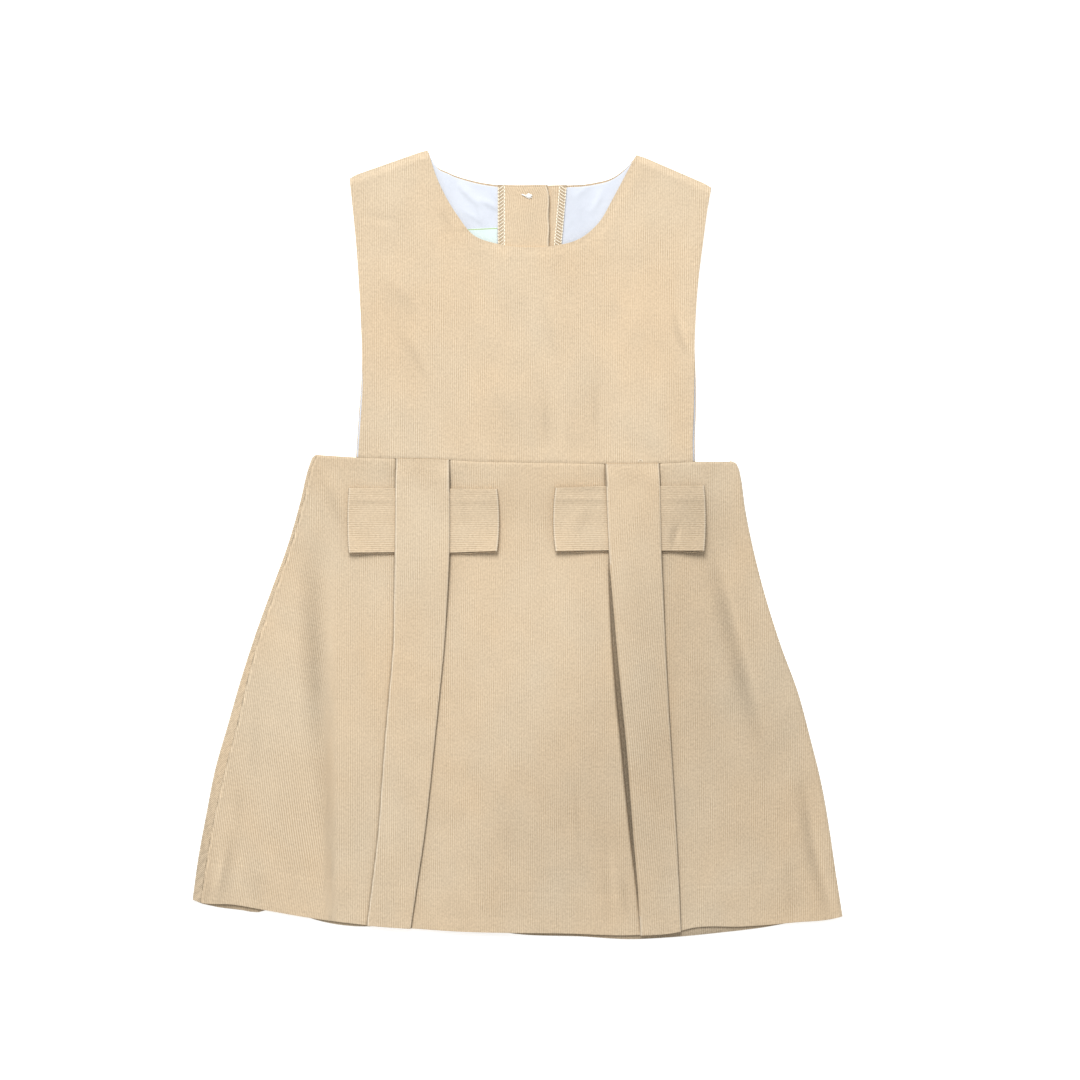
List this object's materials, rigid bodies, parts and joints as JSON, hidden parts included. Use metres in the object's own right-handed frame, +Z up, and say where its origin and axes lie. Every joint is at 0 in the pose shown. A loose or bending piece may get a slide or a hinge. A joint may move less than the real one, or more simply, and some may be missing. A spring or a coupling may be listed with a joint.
{
  "type": "pinafore dress",
  "caption": "Small girl's sleeveless pinafore dress in beige needlecord, laid flat front up, with a bib bodice, box pleats with folded bow wings, and a buttoned, lined back.",
  "frame": {"origin": "on the surface that the dress lies on, under the middle of its box", "axes": "+X to the right as the front is seen, +Y up the dress towards the neck, +Z up, away from the surface"},
  "size_m": [0.3962, 0.481, 0.0087],
  "materials": {
    "needlecord": "fine cotton needlecord, matt, ribs along the length, across it on the wings",
    "lining": "thin plain white cotton, lightly creased",
    "label": "bare woven ribbon, pale mint",
    "button": "moulded resin, satin, beige"
  },
  "bodies": {
    "root": {"front_bodice": "needlecord", "back_bodice_left": "needlecord", "back_bodice_right": "needlecord", "back_lining_left": "lining", "back_lining_right": "lining", "label": "label", "front_skirt": "needlecord", "back_skirt": "needlecord", "wing_left_outer": "needlecord", "wing_left_inner": "needlecord", "wing_right_inner": "needlecord", "wing_right_outer": "needlecord", "button_1": "button", "button_2": "button", "button_3": "button"}
  },
  "joints": []
}
